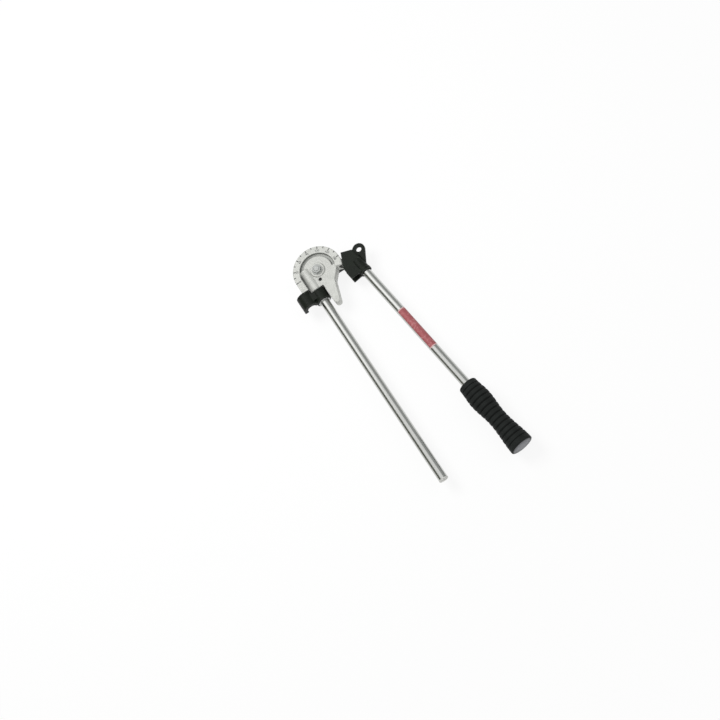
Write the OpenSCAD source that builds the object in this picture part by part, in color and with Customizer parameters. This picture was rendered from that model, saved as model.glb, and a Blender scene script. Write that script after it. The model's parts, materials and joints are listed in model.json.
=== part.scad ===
// Lever tube bender: a grooved former on a fixed handle, a swinging hook that
// holds the tube, and a bending lever that turns on an arm behind the former.
// Lies flat: the pivot stands along +Z, the fixed handle runs along -Y.

/* [Tube and bend] */
// Outside diameter of the tube to be bent
tube_od = 12.7; // [10:0.1:14]
// Bend radius, from the pivot to the middle of the tube
bend_r = 38.1; // [36:0.1:42]
// Room around the tube in the groove and the lever channel
tube_clear = 0.1; // [0.05:0.05:0.3]

/* [Former] */
// Thickness of the rim on each side of the groove
rim_wall = 2.55; // [2:0.05:4]
// How far the rim stops short of the middle of the tube
rim_lip = 0.2; // [0.1:0.1:2]
// Width of the graduated face of the rim
rim_w = 10.6; // [8.5:0.1:11.5]
// Angle that the round part of the groove covers
rim_sweep = 204; // [190:1:215]
// Length of straight groove before the bend starts
lead_len = 18; // [10:0.5:20]
// Width of the recess between the rim and the plate
recess_w = 4.8; // [2:0.1:6]
// Thickness left at the bottom of the recess
recess_floor = 9; // [6:0.5:12]
// Angle at the far end of the rim where the recess is filled
recess_stop = 9; // [5:1:20]
// Thickness of the plate inside the recess
plate_t = 16; // [13:0.5:18]
// Radius of the hub around the pivot
hub_r = 11; // [10.5:0.5:11.5]
// Height of the hub above the tallest part of the casting
hub_rise = 0.1; // [0.1:0.1:1]
// Radius of the drilled hole beside the hub
web_hole_r = 2.5; // [1.5:0.1:2.8]
// Distance of the drilled hole from the pivot, along the handle
web_hole_y = 14.6; // [14.2:0.1:20]
// Distance of the drilled hole from the pivot, across the handle
web_hole_x = 4.2; // [1:0.1:4.4]

/* [Degree marks] */
// Angle between neighbouring marks
mark_step = 15; // [5:5:45]
// Every mark at a multiple of this angle is a long one
mark_long_step = 30; // [30:15:90]
// Length of a long mark
mark_long = 4.6; // [4:0.1:6]
// Length of a short mark
mark_short = 2.8; // [2:0.1:4]
// Width of a mark
mark_w = 1.2; // [0.5:0.1:1.5]
// Depth of a mark
mark_depth = 0.4; // [0.2:0.1:0.8]

/* [Vise lug] */
// Distance from the pivot to the end of the lug
lug_len = 61; // [56:0.5:75]
// Radius of the rounded end of the lug
lug_r = 5; // [4:0.5:8]
// Radius of the lug where it leaves the plate
lug_root_r = 21.5; // [15:0.5:22]
// Radius of the gusset between the rim and the lug
gusset_r = 3; // [2:0.5:4]

/* [Handles] */
// Outside diameter of both handle tubes
handle_od = 14; // [12:0.1:15]
// Wall of both handle tubes
handle_wall = 2; // [1.5:0.1:3]
// Distance from the pivot to the axis of the fixed handle
handle_offset = 17.3; // [17:0.1:19]
// Distance from the pivot to the free end of the fixed handle
fixed_len = 371; // [250:1:500]
// Wall of the sockets that hold the handles
socket_wall = 2.9; // [2.5:0.1:3.5]
// How far the fixed socket reaches past the pivot
socket_top = 12; // [6:0.5:14]
// Gap between the plate and the mouth of the fixed socket, along the handle
mouth_gap = 2.8; // [0.1:0.1:4]
// Depth of handle left out at the closed end of the fixed socket
socket_blind = 3; // [2:0.5:5]
// Gap around a handle in its socket
socket_fit = 0.02; // [0.01:0.01:0.05]
// Radius of the grub screws that lock the handles
grub_r = 3; // [2:0.1:3.5]
// How far a grub screw is sunk below the back of its socket
grub_sink = 0.3; // [0.1:0.1:1]
// Depth of the hexagon socket in a grub screw
grub_hex_depth = 2; // [1:0.1:2.5]
// How far a grub screw reaches through the wall of a handle
grub_reach = 1.6; // [0.5:0.1:1.9]
// Distance from the pivot to the grub screw of the fixed handle
fixed_grub = 8; // [4:0.5:12]
// Length of the plug inside the free end of the fixed handle
plug_len = 12; // [8:0.5:20]
// Thickness of the head of the plug
plug_head = 1.5; // [1:0.1:3]

/* [Latch] */
// Wall of the latch collar around the fixed handle
latch_wall = 4.6; // [4:0.1:6]
// Length of the latch collar
latch_len = 18.5; // [16:0.5:26]
// Thickness of the washer between the socket and the collar
latch_washer_t = 0.9; // [0.5:0.1:1.2]
// Play of the collar at each end
latch_play = 0.3; // [0.2:0.05:0.6]
// Running gap between the collar and the handle
latch_fit = 0.06; // [0.02:0.01:0.1]
// Room around the tube inside the hook
hook_clear = 0.45; // [0.3:0.05:0.8]
// Wall of the hook
hook_wall = 6; // [4:0.1:7]
// Length of the hook along the tube
hook_len = 24; // [21:0.5:30]
// Gap between the end of the former and the hook
hook_gap = 1; // [0.5:0.1:2]
// How far the lip of the hook reaches below the middle of the tube
hook_lip = 4; // [2:0.1:5]
// Thickness of the bridge between the collar and the hook
bridge_t = 3.4; // [2.5:0.1:3.6]
// Length of the bridge between the collar and the hook
bridge_len = 12.5; // [9:0.5:16]
// Thickness of the retaining ring below the collar
ring_t = 1.2; // [0.8:0.1:1.6]
// How far the retaining ring stands out of the handle
ring_rise = 2.4; // [1.5:0.1:3]
// Depth of the groove for the retaining ring
ring_groove = 0.7; // [0.4:0.1:1]

/* [Pivot] */
// Radius of the shoulder of the pivot bolt
shoulder_r = 6; // [5:0.1:6.5]
// Radius of the thread of the pivot bolt
thread_r = 4; // [3:0.1:4.5]
// Radius of the round head of the pivot bolt
bolt_head_r = 10.5; // [10:0.5:12]
// Thickness of the round head of the pivot bolt
bolt_head_t = 4.4; // [4:0.1:6]
// Running gap between the bush and the shoulder
run_fit = 0.03; // [0.01:0.01:0.1]
// Side gap on each side of the arm
run_gap = 0.1; // [0.05:0.05:0.3]
// Thickness of the thrust washers beside the arm
thrust_t = 0.6; // [0.4:0.1:1]
// Radius of the thrust washers
thrust_r = 9.5; // [8:0.5:10]
// Radius of the washer under the nut
nut_washer_r = 8; // [7.5:0.5:10]
// Thickness of the washer under the nut
nut_washer_t = 1.2; // [1:0.1:2]
// Width of the nut across its flats
nut_flats = 12; // [11:0.5:13]
// Height of the nut
nut_h = 4; // [3:0.5:6]
// Length of thread that stands out of the nut
thread_out = 0.6; // [0.2:0.1:2]

/* [Lever arm] */
// Thickness of the arm
arm_t = 6; // [5:0.5:7]
// Radius of the arm around the pivot
arm_eye_r = 11; // [10.5:0.5:12]
// Radius of the end of the arm on the lever head
arm_end_r = 9.5; // [9.5:0.1:10.5]
// Radius of the arm at its elbow
arm_elbow_r = 8; // [7:0.1:9]
// Distance from the pivot to the elbow, across the lever
arm_elbow_v = 34; // [30:0.5:38]
// Distance from the pivot to the elbow, along the lever
arm_elbow_u = 8.5; // [6:0.5:11]
// Wall of the bush in the arm
bush_wall = 2; // [1:0.1:2.5]
// Distance from the tube line to the screws of the arm
arm_screw_rise = 13.4; // [12.5:0.1:14]
// Distance from the pivot to the middle of the screws, along the lever
arm_screw_u = 17; // [16.5:0.1:17.5]
// Distance between the two screws
arm_screw_pitch = 9; // [8.5:0.1:9.5]
// Radius of the thread of the screws
arm_screw_r = 2.5; // [2:0.1:3]
// Radius of the head of the screws
arm_screw_head_r = 4; // [3.5:0.1:4.2]
// Height of the head of the screws
arm_screw_head_t = 3; // [2:0.1:4]
// Depth of the screws in the lever head
arm_screw_depth = 12; // [8:0.5:15]

/* [Lever head] */
// Angle between the two handles at rest
lever_open = 6.4; // [0:0.1:10]
// Distance from the tube line to the axis of the lever handle
lever_rise = 14.3; // [14.2:0.1:16]
// Gap between the lever head and the rim of the former
head_gap = 0.8; // [0.6:0.1:3.5]
// Angle of the inner face of the lever head to the lever
head_turn = 28; // [20:1:32]
// Near end of the lever head, along its inner face
head_near = 17.5; // [16:0.5:18]
// Far end of the tube channel, along the lever
head_far = 47.5; // [46:0.5:56]
// How far the channel reaches in from the tube line
head_in = 8.5; // [7:0.5:11]
// Wall behind the tube channel
head_back = 3; // [2:0.1:4]
// How far the root block reaches out from the tube line
root_out = 19.5; // [18.5:0.5:21]
// Far end of the root block, along the lever
root_far = 28; // [27.5:0.5:32]
// Closed end of the bore of the lever socket, along the lever
lever_bore_near = 26; // [25.5:0.5:27]
// Wall of the lever socket
lever_wall = 1.9; // [1.6:0.1:2.9]
// Solid metal at the closed end of the lever socket
socket_bottom = 4; // [2:0.5:6]
// Length of the thick ring at the mouth of the lever socket
mouth_len = 5; // [4:0.5:8]
// How far the lever socket reaches past the tube channel
mouth_out = 3; // [0:0.5:6]
// How far the thick ring stands out of the lever socket
mouth_rise = 0.7; // [0.6:0.1:2]
// Distance from the pivot to the grub screw of the lever
lever_grub = 36; // [32:0.5:40]

/* [Hanging eye] */
// Radius of the hole in the hanging eye
eye_hole_r = 4.1; // [2.5:0.1:4.5]
// Ring of metal around the hole
eye_ring = 5.5; // [4:0.1:7]
// Thickness of the eye and its fin
eye_t = 4.5; // [4:0.5:12]
// Distance from the lever handle axis to the eye
eye_rise = 13.7; // [13:0.1:18]
// Distance from the pivot to the eye, along the lever
eye_u = 14.5; // [14:0.1:24]
// Radius of the neck of the eye, on the lever handle axis
neck_r = 6; // [4:0.5:8]
// Distance from the eye to its neck, along the lever
neck_drop = 4.5; // [0:0.5:8]
// End of the fin, along the lever
fin_u = 40; // [36:0.5:44]
// Radius of the end of the fin
fin_r = 3; // [2:0.5:4]
// How far the end of the fin sinks into the lever socket
fin_sink = 4.5; // [4:0.5:6]

/* [Label and grip] */
// Start of the label, along the lever
label_start = 133; // [80:1:180]
// Length of the label
label_len = 77; // [40:1:90]
// Angle of the handle that the label covers
label_wrap = 130; // [90:5:340]
// Thickness of the label
label_t = 0.2; // [0.1:0.05:0.4]
// Start of the grip, along the lever
grip_start = 284; // [280:1:320]
// Length of the grip
grip_len = 118; // [110:1:140]
// Radius of the grip at its front end
grip_front_r = 14; // [12:0.1:16]
// Radius of the grip at its bulge
grip_bulge_r = 16.4; // [14:0.1:18]
// Radius of the grip at its waist
grip_waist_r = 13.5; // [12:0.1:15]
// Radius of the grip at its end
grip_end_r = 17.5; // [15:0.1:18]
// Number of raised ribs on the grip
grip_ribs = 13; // [6:1:16]
// Height of the ribs
rib_h = 0.9; // [0.4:0.1:1.4]
// Bevel at the ends of the grip
grip_bevel = 1.5; // [0.5:0.1:2.5]
// Rubber left past the end of the handle tube
grip_floor = 8; // [6:0.5:12]
// Radius of the end cap of the grip
cap_r = 15; // [12:0.5:15.5]
// Depth of the end cap in the grip
cap_depth = 3; // [2:0.5:4]
// How far the end cap domes out of the grip
cap_dome = 1.2; // [0.4:0.1:2]

/* [Hidden] */

$fn = 96;
// Cutting bodies run this far past what they cut
over = 1;
// The straight sides of a bar run this far inside its round ends
bar_inset = 0.02;

// The tube and the casting around it
tube_r = tube_od / 2;
groove_r = tube_r + tube_clear;
flange_r = bend_r - rim_lip;
rim_in = flange_r - rim_w;
plate_r = rim_in - recess_w;
rim_half = groove_r + rim_wall;
// Angle of the far end of the rim, counted from +X
rim_end = 180 - rim_sweep;

// The handles and their sockets
handle_r = handle_od / 2;
bore_r = handle_r + socket_fit;
socket_r = handle_r + socket_wall;
fixed_x = -handle_offset;

// Heights, counted both ways from the middle plane of the tube
hub_half = max(rim_half, socket_r, plate_t / 2) + hub_rise;
shoulder_len = arm_t + 2 * (thrust_t + run_gap);
arm_front = hub_half + thrust_t + run_gap;
arm_back = arm_front + arm_t;
z_mid = hub_half + shoulder_len + bolt_head_t;

// The latch, counted along the fixed handle from the pivot
latch_r = handle_r + latch_wall;
socket_mouth = sqrt(pow(plate_r, 2) - pow(handle_offset - latch_r, 2)) + mouth_gap;
hook_in_r = tube_r + hook_clear;
hook_out_r = hook_in_r + hook_wall;
hook_start = lead_len + hook_gap;
latch_start = socket_mouth + latch_washer_t + latch_play;
latch_end = latch_start + latch_len;
ring_start = latch_end + latch_play;
// Room between the hook and the socket that it swings past
hook_socket_gap = 0.6;
// Room between the hook and the retaining ring, where the hook reaches past the collar
hook_ring_gap = 0.6;

// The vise lug stays clear of the latch collar
lug_gap = 0.5;
lug_left = fixed_x + latch_r + lug_gap;
lug_center = [lug_left + lug_r, lug_r - lug_len];
// The gusset runs from the end of the rim to the middle of the lug
gusset_top = rim_in * [cos(rim_end + recess_stop / 2), sin(rim_end + recess_stop / 2)];
gusset_foot_r = (lug_root_r + lug_r) / 2 - gusset_r;

// Points of the lever, across it (v) and along it (u)
lever_v = bend_r + lever_rise;
arm_elbow = [arm_elbow_v, -arm_elbow_u];
arm_end = [bend_r + arm_screw_rise, -arm_screw_u];
arm_screw_at = [for (side = [-1, 1]) arm_end + [0, side * arm_screw_pitch / 2]];
eye_center = [lever_v + eye_rise, -eye_u];
eye_r = eye_hole_r + eye_ring;
neck_center = [lever_v, -eye_u - neck_drop];
lever_socket_r = handle_r + lever_wall;
fin_end = [lever_v + lever_socket_r - fin_sink, -fin_u];
mouth_end = head_far + mouth_out;
grip_end = grip_start + grip_len;
lever_tube_end = grip_end - grip_floor;

// Places and radii of the plain grip, as shares of its length
grip_stations = [0, 0.24, 0.56, 1];
grip_radii = [grip_front_r, grip_bulge_r, grip_waist_r, grip_end_r];
// The ribs run between these shares of its length
ribs_from = 0.06;
ribs_to = 0.93;
// Outline of one rib: shares of its pitch, each with its depth in rib heights
rib_outline = [[0.05, 1], [0.22, 0], [0.5, 0], [0.78, 0], [0.95, 1]];

// Round bar in the plane between two circles, with straight tangent sides
module tangent_bar(a, ra, b, rb) {
    away = b - a;
    heading = atan2(away[1], away[0]);
    spread = acos((ra - rb) / norm(away));
    corners = [[a, ra, -1], [b, rb, -1], [b, rb, 1], [a, ra, 1]];
    polygon([for (c = corners) let (turn = heading + c[2] * spread)
        c[0] + (c[1] - bar_inset) * [cos(turn), sin(turn)]]);
    translate(a) circle(ra);
    translate(b) circle(rb);
}

// Children stand along +Z and are laid along -Y, from a distance past the pivot
module along(x, start) {
    translate([x, -start, 0]) rotate([90, 0, 0]) children();
}

// Children are lifted to the middle plane of the tube
module at_middle() {
    translate([0, 0, z_mid]) children();
}

// Children are placed in the frame of the lever
module in_lever() {
    at_middle() rotate([0, 0, lever_open]) children();
}

// Flat ring that stands on the plane
module flat_ring(outer, inner, height) {
    difference() {
        cylinder(r = outer, h = height);
        translate([0, 0, -over]) cylinder(r = inner, h = height + 2 * over);
    }
}

// Cross-section of the rim, with the groove for the tube
module rim_section() {
    difference() {
        translate([rim_in, -rim_half]) square([rim_w, 2 * rim_half]);
        translate([bend_r, 0]) circle(groove_r);
    }
}

// Wedge of the plane between two angles, counted from +X
module wedge(from, to) {
    far = 2 * bend_r;
    turns = [for (i = [0:3]) from + (to - from) * i / 3];
    polygon(concat([[0, 0]], [for (turn = turns) far * [cos(turn), sin(turn)]]));
}

// Outline of the plate inside the rim, with the vise lug and the solid end of the recess
module plate_outline() {
    circle(plate_r);
    intersection() {
        circle(rim_in + over);
        wedge(rim_end, rim_end + recess_stop);
    }
    difference() {
        union() {
            tangent_bar([0, 0], lug_root_r, lug_center, lug_r);
            tangent_bar(gusset_top, gusset_r, lug_center / 2, gusset_foot_r);
        }
        translate([lug_left - 2 * lug_len, -2 * lug_len]) square([2 * lug_len, 2 * lug_len - socket_mouth]);
    }
}

// Grooved rim, round over the bend and straight towards the latch
module rim() {
    rotate([0, 0, rim_end]) rotate_extrude(angle = rim_sweep) rim_section();
    along(0, 0) linear_extrude(lead_len) mirror([1, 0]) rim_section();
}

// Outline of the thin floor that joins the rim to the plate
module recess_floor_outline() {
    difference() {
        circle(rim_in + over);
        wedge(-180, rim_end);
    }
    translate([-rim_in - over, -lead_len]) square([rim_in + over - handle_offset, lead_len + over]);
}

// Round socket of the fixed handle, coned at its closed end
module fixed_socket() {
    cone = socket_wall;
    along(fixed_x, -socket_top) cylinder(r = socket_r, h = socket_top + socket_mouth);
    along(fixed_x, -socket_top - cone) cylinder(r1 = socket_r - cone, r2 = socket_r, h = cone);
}

// Shallow marks on the front of the rim, from no bend to a half turn
module degree_marks() {
    for (bend = [0:mark_step:180]) {
        length = bend % mark_long_step == 0 ? mark_long : mark_short;
        rotate([0, 0, 180 - bend])
            translate([flange_r - length, -mark_w / 2, rim_half - mark_depth])
                cube([length + over, mark_w, mark_depth + over]);
    }
}

// Cross-section of the hook: a round shell over the tube, open below and towards the handle
module hook_section() {
    difference() {
        circle(hook_out_r);
        circle(hook_in_r);
        translate([-hook_in_r, -2 * hook_out_r]) square([4 * hook_out_r, 2 * hook_out_r]);
        translate([-2 * hook_out_r, -2 * hook_out_r]) square([4 * hook_out_r, 2 * hook_out_r - hook_lip]);
    }
}

// Cross-section of the bridge, with a web in the corner between the hook and the collar
module bridge_section() {
    reach = bend_r - handle_offset;
    translate([0, hook_in_r]) square([reach, bridge_t]);
    translate([hook_in_r, hook_in_r / 2]) square([reach - hook_in_r, (hook_in_r + bridge_t) / 2]);
}

// Grub screw standing along Z in a socket of some radius, with its hexagon socket below
module grub_screw(outer) {
    bottom = grub_sink - outer;
    difference() {
        translate([0, 0, bottom]) cylinder(r = grub_r - socket_fit, h = grub_reach - handle_r - bottom);
        translate([0, 0, bottom - over]) cylinder(r = grub_r / 2, h = over + grub_hex_depth, $fn = 6);
    }
}

// Hole for a grub screw, from outside the socket to inside the handle
module grub_hole() {
    translate([0, 0, -socket_r - over]) cylinder(r = grub_r, h = socket_r + over);
}

// Handle tube along a distance from the pivot, with its locking hole
module handle_tube(x, start, end, grub_at) {
    difference() {
        along(x, start) flat_ring(handle_r, handle_r - handle_wall, end - start);
        translate([x, -grub_at, 0]) grub_hole();
    }
}

// Radius of the plain grip at a share of its length, eased between the stations
function grip_radius(share) =
    let (last = len(grip_stations) - 2)
    let (i = [for (k = [0:last]) if (share <= grip_stations[k + 1] || k == last) k][0])
    let (part = (share - grip_stations[i]) / (grip_stations[i + 1] - grip_stations[i]))
    let (ease = (1 - cos(180 * part)) / 2)
    grip_radii[i] + (grip_radii[i + 1] - grip_radii[i]) * ease;

// Corners of one rib: up its near side, over its crest and down its far side
function rib_corners(i) =
    let (pitch = (ribs_to - ribs_from) / grip_ribs)
    let (near = ribs_from + i * pitch)
    [for (c = rib_outline)
        let (share = near + c[0] * pitch)
        [grip_radius(share) - c[1] * rib_h, share * grip_len]];

// Outline of the hanging eye and its fin along the lever socket
module eye_outline() {
    tangent_bar(eye_center, eye_r, neck_center, neck_r);
    tangent_bar(eye_center, eye_r, fin_end, fin_r);
    polygon([neck_center, [lever_v, -fin_u], fin_end, eye_center]);
}

// Body of the lever head, cut square to its slanted inner face
module head_block() {
    difference() {
        union() {
            translate([bend_r - head_in, -head_far, -rim_half])
                cube([head_in + groove_r + head_back, head_far, 2 * rim_half]);
            translate([bend_r, -root_far, -arm_front])
                cube([root_out, root_far, arm_front + rim_half]);
            along(lever_v, lever_bore_near - socket_bottom)
                cylinder(r = lever_socket_r, h = mouth_end - lever_bore_near + socket_bottom);
            along(lever_v, mouth_end - mouth_len) cylinder(r = lever_socket_r + mouth_rise, h = mouth_len);
        }
        rotate([0, 0, -head_turn]) translate([0, -head_far, -arm_front - over])
            cube([flange_r + head_gap, 2 * head_far, 2 * (arm_front + over)]);
        rotate([0, 0, -head_turn]) translate([0, head_near, -arm_front - over])
            cube([2 * lever_v, head_far, 2 * (arm_front + over)]);
    }
}

// Silver casting: grooved rim, plate, hub, handle socket and vise lug
module former() {
    color("gainsboro") at_middle() difference() {
        union() {
            rim();
            translate([0, 0, -recess_floor / 2]) linear_extrude(recess_floor) recess_floor_outline();
            translate([0, 0, -plate_t / 2]) linear_extrude(plate_t) plate_outline();
            translate([0, 0, -hub_half]) cylinder(r = hub_r, h = 2 * hub_half);
            fixed_socket();
        }
        translate([0, 0, -hub_half - over]) cylinder(r = thread_r + socket_fit, h = 2 * (hub_half + over));
        along(fixed_x, socket_blind - socket_top) cylinder(r = bore_r, h = socket_top + socket_mouth);
        translate([fixed_x, -fixed_grub, 0]) grub_hole();
        translate([-web_hole_x, -web_hole_y, -plate_t]) cylinder(r = web_hole_r, h = 2 * plate_t);
        degree_marks();
    }
}

// Shoulder bolt with a round flat head at the back
module pivot_bolt() {
    thread_len = 2 * hub_half + nut_washer_t + nut_h + thread_out;
    color("silver") union() {
        cylinder(r = bolt_head_r, h = bolt_head_t);
        translate([0, 0, bolt_head_t]) cylinder(r = shoulder_r, h = shoulder_len);
        translate([0, 0, bolt_head_t + shoulder_len]) cylinder(r = thread_r, h = thread_len);
    }
}

// Two washers on the shoulder, one on each side of the arm
module thrust_washers() {
    color("darkgray") for (z = [bolt_head_t, bolt_head_t + shoulder_len - thrust_t])
        translate([0, 0, z]) flat_ring(thrust_r, shoulder_r + socket_fit, thrust_t);
}

// Washer under the nut
module pivot_washer() {
    color("silver") at_middle() translate([0, 0, hub_half])
        flat_ring(nut_washer_r, thread_r + socket_fit, nut_washer_t);
}

// Thin hexagon nut on the front of the hub
module pivot_nut() {
    color("silver") at_middle() translate([0, 0, hub_half + nut_washer_t]) difference() {
        cylinder(r = nut_flats / 2 / cos(30), h = nut_h, $fn = 6);
        translate([0, 0, -over]) cylinder(r = thread_r + socket_fit, h = nut_h + 2 * over);
    }
}

// Bright tube of the fixed handle
module fixed_handle() {
    color("lightsteelblue") at_middle() difference() {
        handle_tube(fixed_x, socket_blind - socket_top + socket_fit, fixed_len - plug_head, fixed_grub);
        along(fixed_x, ring_start) flat_ring(handle_od, handle_r - ring_groove, ring_t);
    }
}

// Grub screw that locks the fixed handle, from the back
module fixed_handle_screw() {
    color("dimgray") at_middle() translate([fixed_x, -fixed_grub, 0]) grub_screw(socket_r);
}

// Plug in the free end of the fixed handle
module fixed_handle_plug() {
    color("whitesmoke") at_middle() union() {
        along(fixed_x, fixed_len - plug_head) cylinder(r = handle_r, h = plug_head);
        along(fixed_x, fixed_len - plug_head - plug_len)
            cylinder(r = handle_r - handle_wall - socket_fit, h = plug_len);
    }
}

// Black collar on the fixed handle with a hook over the tube
module latch_hook() {
    color("#222222") at_middle() difference() {
        union() {
            along(fixed_x, latch_start) cylinder(r = latch_r, h = latch_len);
            along(-bend_r, hook_start) linear_extrude(hook_len) hook_section();
            along(-bend_r, latch_start) linear_extrude(bridge_len) bridge_section();
        }
        along(fixed_x, 0) cylinder(r = handle_r + latch_fit, h = 2 * latch_end);
        along(fixed_x, 0) cylinder(r = socket_r + hook_socket_gap, h = latch_start);
        along(fixed_x, latch_end) cylinder(r = handle_r + ring_rise + hook_ring_gap, h = hook_len);
    }
}

// Washer between the socket and the latch collar
module latch_washer() {
    color("silver") at_middle() along(fixed_x, socket_mouth)
        flat_ring(socket_r, handle_r + socket_fit, latch_washer_t);
}

// Retaining ring in its groove below the latch collar
module latch_retaining_ring() {
    color("dimgray") at_middle() along(fixed_x, ring_start)
        flat_ring(handle_r + ring_rise, handle_r - ring_groove + socket_fit, ring_t);
}

// Black steel arm behind the former
module lever_arm() {
    color("#303030") in_lever() translate([0, 0, -arm_back]) linear_extrude(arm_t) difference() {
        union() {
            tangent_bar([0, 0], arm_eye_r, arm_elbow, arm_elbow_r);
            tangent_bar(arm_elbow, arm_elbow_r, arm_end, arm_end_r);
        }
        circle(shoulder_r + bush_wall);
        for (at = arm_screw_at) translate(at) circle(arm_screw_r + socket_fit);
    }
}

// Bronze bush in the arm
module arm_bush() {
    color("peru") in_lever() translate([0, 0, -arm_back])
        flat_ring(shoulder_r + bush_wall - socket_fit, shoulder_r + run_fit, arm_t);
}

// Two screws from the back, through the arm into the lever head
module arm_screws() {
    color("dimgray") in_lever() for (at = arm_screw_at) translate([at[0], at[1], -arm_back]) difference() {
        union() {
            translate([0, 0, -arm_screw_head_t]) cylinder(r = arm_screw_head_r, h = arm_screw_head_t);
            cylinder(r = arm_screw_r, h = arm_t + arm_screw_depth);
        }
        translate([0, 0, -arm_screw_head_t - over])
            cylinder(r = arm_screw_r, h = over + arm_screw_head_t / 2, $fn = 6);
    }
}

// Black casting of the lever: tube channel, root block, handle socket and eye
module lever_head() {
    color("#222222") in_lever() difference() {
        union() {
            head_block();
            translate([0, 0, -eye_t / 2]) linear_extrude(eye_t) eye_outline();
        }
        along(bend_r, 0) cylinder(r = groove_r, h = 2 * head_far);
        translate([0, -2 * head_far, -groove_r]) cube([bend_r, 2 * head_far, 2 * groove_r]);
        along(lever_v, lever_bore_near) cylinder(r = bore_r, h = head_far);
        translate([lever_v, -lever_grub, 0]) grub_hole();
        translate([eye_center[0], eye_center[1], -eye_t]) cylinder(r = eye_hole_r, h = 2 * eye_t);
        for (at = arm_screw_at) translate([at[0], at[1], -arm_front - over])
            cylinder(r = arm_screw_r + socket_fit, h = over + arm_screw_depth + over);
    }
}

// Bright tube of the lever handle
module lever_handle() {
    color("lightsteelblue") in_lever()
        handle_tube(lever_v, lever_bore_near + socket_fit, lever_tube_end, lever_grub);
}

// Grub screw that locks the lever handle, from the back
module lever_handle_screw() {
    color("dimgray") in_lever() translate([lever_v, -lever_grub, 0]) grub_screw(lever_socket_r);
}

// Plain red label wrapped part of the way around the lever handle
module label() {
    color("firebrick") in_lever() along(lever_v, label_start) rotate([0, 0, 90 - label_wrap / 2])
        rotate_extrude(angle = label_wrap) translate([handle_r, 0]) square([label_t, label_len]);
}

// Ribbed rubber grip on the end of the lever handle
module grip() {
    bore_end = lever_tube_end - grip_start;
    outline = concat(
        [[bore_r, 0], [grip_front_r - grip_bevel, 0], [grip_front_r, grip_bevel]],
        [for (i = [0:grip_ribs - 1]) each rib_corners(i)],
        [[grip_end_r, grip_len - grip_bevel], [grip_end_r - grip_bevel, grip_len], [cap_r, grip_len]],
        [[cap_r, grip_len - cap_depth], [0, grip_len - cap_depth], [0, bore_end], [bore_r, bore_end]]
    );
    color("#1c1c1c") in_lever() along(lever_v, grip_start) rotate_extrude() polygon(outline);
}

// Grey disc let into the end of the grip
module grip_end_cap() {
    bevel = 2 * cap_dome;
    color("gray") in_lever() along(lever_v, grip_end - cap_depth) union() {
        cylinder(r = cap_r - socket_fit, h = cap_depth);
        translate([0, 0, cap_depth]) cylinder(r1 = cap_r - socket_fit, r2 = cap_r - bevel, h = cap_dome);
    }
}

former();
pivot_bolt();
thrust_washers();
pivot_washer();
pivot_nut();
fixed_handle();
fixed_handle_screw();
fixed_handle_plug();
latch_hook();
latch_washer();
latch_retaining_ring();
lever_arm();
arm_bush();
arm_screws();
lever_head();
lever_handle();
lever_handle_screw();
label();
grip();
grip_end_cap();
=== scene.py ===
"""Dresses a packed lever tube bender: castings, plated tubes, label, grip and a studio stage."""

import json
import math

import bmesh
import bpy
from bpy.props import FloatProperty, FloatVectorProperty, IntProperty, PointerProperty
from mathutils import Matrix, Vector
from mathutils.bvhtree import BVHTree


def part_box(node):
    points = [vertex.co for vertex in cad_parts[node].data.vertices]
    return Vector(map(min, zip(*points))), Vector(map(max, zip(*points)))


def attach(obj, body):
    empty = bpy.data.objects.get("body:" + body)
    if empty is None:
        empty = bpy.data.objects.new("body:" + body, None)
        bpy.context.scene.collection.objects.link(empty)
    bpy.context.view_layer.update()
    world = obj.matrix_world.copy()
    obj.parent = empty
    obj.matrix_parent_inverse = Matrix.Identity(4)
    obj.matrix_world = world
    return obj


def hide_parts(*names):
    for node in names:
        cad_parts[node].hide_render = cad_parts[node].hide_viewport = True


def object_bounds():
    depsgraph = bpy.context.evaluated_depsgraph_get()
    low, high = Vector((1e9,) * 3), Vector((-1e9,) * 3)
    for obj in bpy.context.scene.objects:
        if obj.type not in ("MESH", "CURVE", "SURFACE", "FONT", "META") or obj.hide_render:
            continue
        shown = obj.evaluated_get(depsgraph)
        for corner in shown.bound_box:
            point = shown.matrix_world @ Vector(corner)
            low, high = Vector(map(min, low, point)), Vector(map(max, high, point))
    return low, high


bl_info = {
    "name": "Lever Tube Bender",
    "version": (1, 0, 0),
    "blender": (4, 5, 0),
    "location": "View3D > Sidebar > Tube Bender",
    "description": "Builds the castings, tubes, label, grip and studio of a lever tube bender",
    "category": "Object",
}

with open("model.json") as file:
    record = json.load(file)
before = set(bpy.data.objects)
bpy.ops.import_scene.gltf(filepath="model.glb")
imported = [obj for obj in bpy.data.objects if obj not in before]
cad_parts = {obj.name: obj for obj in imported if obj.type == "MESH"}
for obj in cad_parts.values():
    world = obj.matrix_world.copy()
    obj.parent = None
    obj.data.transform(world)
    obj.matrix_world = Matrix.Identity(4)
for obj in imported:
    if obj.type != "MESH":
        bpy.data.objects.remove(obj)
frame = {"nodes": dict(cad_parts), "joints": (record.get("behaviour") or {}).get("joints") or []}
CAD_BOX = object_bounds()
NODES = frame["nodes"]
JOINTS = {joint["name"]: joint for joint in frame["joints"]}

MM = 0.001
TURN = 2 * math.pi
# Segments around a turned piece
STEPS = 96
# Edges sharper than this stay crisp in the shading
CRISP = math.radians(32)

# The fixed handle's axis and the middle plane of the tube come from the latch joint
HANDLE_X, _, MIDDLE = JOINTS["latch_swing"]["pos_m"]
# Radii of the pivot bolt
THREAD_R, SHOULDER_R = 4 * MM, 6 * MM
# Clearance between a piece and the shaft or tube that it sits on
FIT = 0.02 * MM


def linear(code):
    """Linear RGBA of an sRGB hex colour such as "#c8c9c6"."""
    parts = [int(code[i:i + 2], 16) / 255 for i in (1, 3, 5)]
    return (*[c / 12.92 if c <= 0.04045 else ((c + 0.055) / 1.055) ** 2.4 for c in parts], 1.0)


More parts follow.
